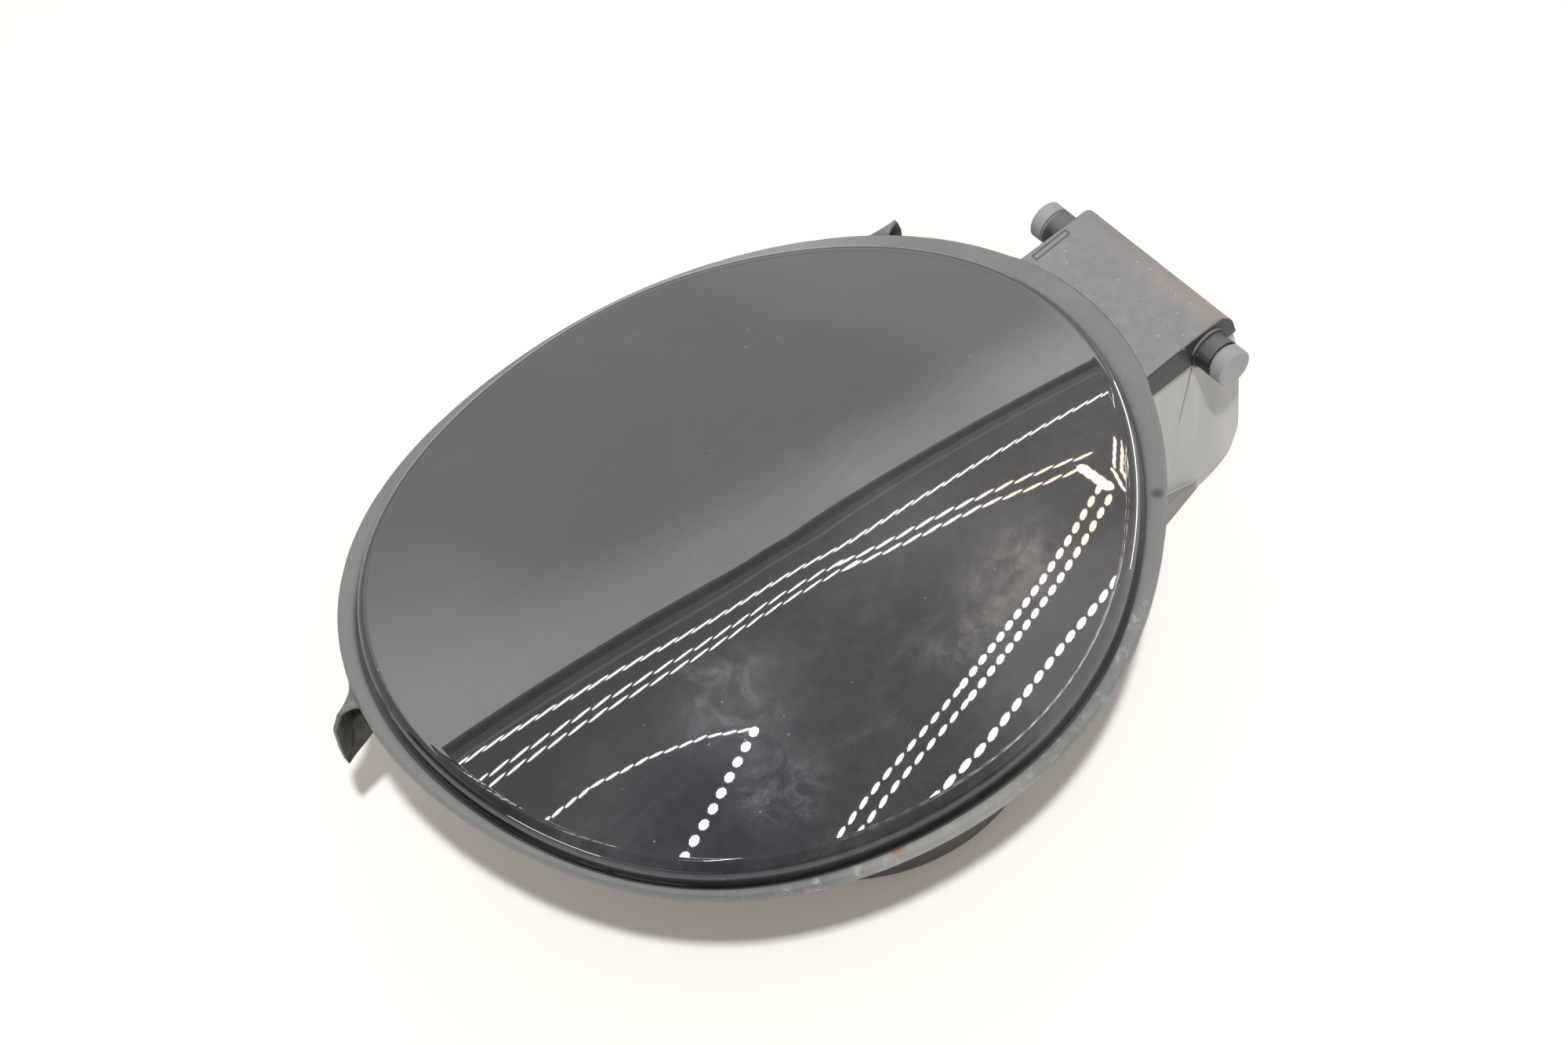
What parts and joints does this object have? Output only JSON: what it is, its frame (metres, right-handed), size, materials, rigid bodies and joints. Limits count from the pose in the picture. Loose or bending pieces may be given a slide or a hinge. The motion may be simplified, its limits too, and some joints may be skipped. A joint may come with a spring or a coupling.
{
  "type": "fuel_door",
  "caption": "Car fuel door: domed gloss-black flap on a gooseneck hinge, opening over a bowl-shaped grey housing with a soft seal lip, drip spouts, hinge pocket, neck pot and a sliding lock bolt.",
  "frame": {"origin": "on the axis of the filler neck, at the underside of the neck pot, where the pot's floor rests", "axes": "+X towards the hinge, +Z out of the car through the flap, +Y along the hinge pin"},
  "size_m": [0.2258, 0.1687, 0.0715],
  "materials": {
    "gloss_black": "gloss clear coat with haze and dust",
    "inner_plastic": "fine grain",
    "black_plastic": "fine grain",
    "housing_plastic": "weathered grey with pale specks",
    "seal_rubber": "soft matt, dusty",
    "black_rubber": "matt",
    "cap_plastic": "light grey, flat ended",
    "bush_plastic": "smooth natural nylon",
    "bolt_plastic": "smooth natural nylon",
    "zinc_steel": "zinc plated",
    "pin_steel": "drawn bar",
    "spring_steel": "oiled spring steel"
  },
  "bodies": {
    "housing_body": {"housing": "housing_plastic", "seal_lip": "seal_rubber", "hinge_pin": "pin_steel", "pin_cap_near": "cap_plastic", "pin_cap_far": "cap_plastic", "hinge_spring": "spring_steel", "neck_seal": "black_rubber", "drain_spout": "black_rubber", "stop_near": "black_rubber", "stop_far": "black_rubber", "panel_clips": "spring_steel", "lock_case": "black_plastic", "lock_cover": "black_plastic", "lock_spring": "spring_steel", "lock_screws": "zinc_steel"},
    "door_body": {"door_skin": "gloss_black", "inner_panel": "inner_plastic", "hinge_arm": "black_plastic", "arm_screws": "zinc_steel", "arm_bush_near": "bush_plastic", "arm_bush_far": "bush_plastic", "cap_holder": "black_plastic", "striker": "zinc_steel"},
    "bolt_body": {"lock_pin": "bolt_plastic"}
  },
  "joints": [
    {"name": "door_hinge", "type": "hinge", "parent": "housing_body", "child": "door_body", "pos_m": [0.1083, 0.013, 0.0551], "axis": [0, 1, 0], "range_deg": [0, 92], "stiffness_Nm_per_rad": 0.03, "springref_deg": -28.65},
    {"name": "lock_slide", "type": "slide", "parent": "housing_body", "child": "bolt_body", "axis": [1, 0, 0], "range_m": [0, 0.007], "stiffness_N_per_m": 60, "springref_m": -0.002, "deforming": ["lock_spring"]}
  ]
}
